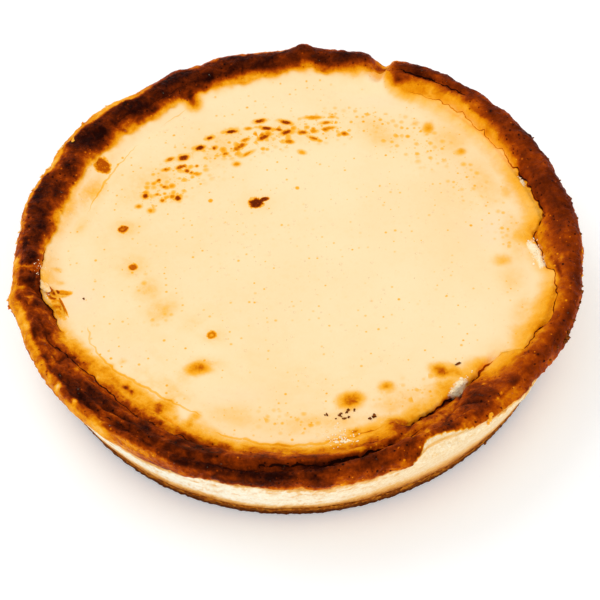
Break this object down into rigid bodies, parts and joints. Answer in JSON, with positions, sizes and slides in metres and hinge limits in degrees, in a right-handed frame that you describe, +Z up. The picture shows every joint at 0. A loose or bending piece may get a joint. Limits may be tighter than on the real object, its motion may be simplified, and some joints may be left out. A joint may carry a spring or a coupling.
{
  "type": "cheesecake",
  "caption": "Round uncut baked cheesecake with a raised, browned and folded rim, a pale spotted top and a thin biscuit base.",
  "frame": {"origin": "on the table under the middle of the cake, at the centre of its bounding box's bottom face", "axes": "+Z up; -Y towards the side that the picture shows in front, +X to its right"},
  "size_m": [0.2695, 0.269, 0.0485],
  "materials": {
    "baked_cheese": "matte to softly glossy baked cheese, cream at the side, pale yellow on top and dark brown round the rim",
    "biscuit": "matte pressed biscuit crumb"
  },
  "bodies": {
    "root": {"biscuit_base": "biscuit", "baked_cheese": "baked_cheese"}
  },
  "joints": []
}
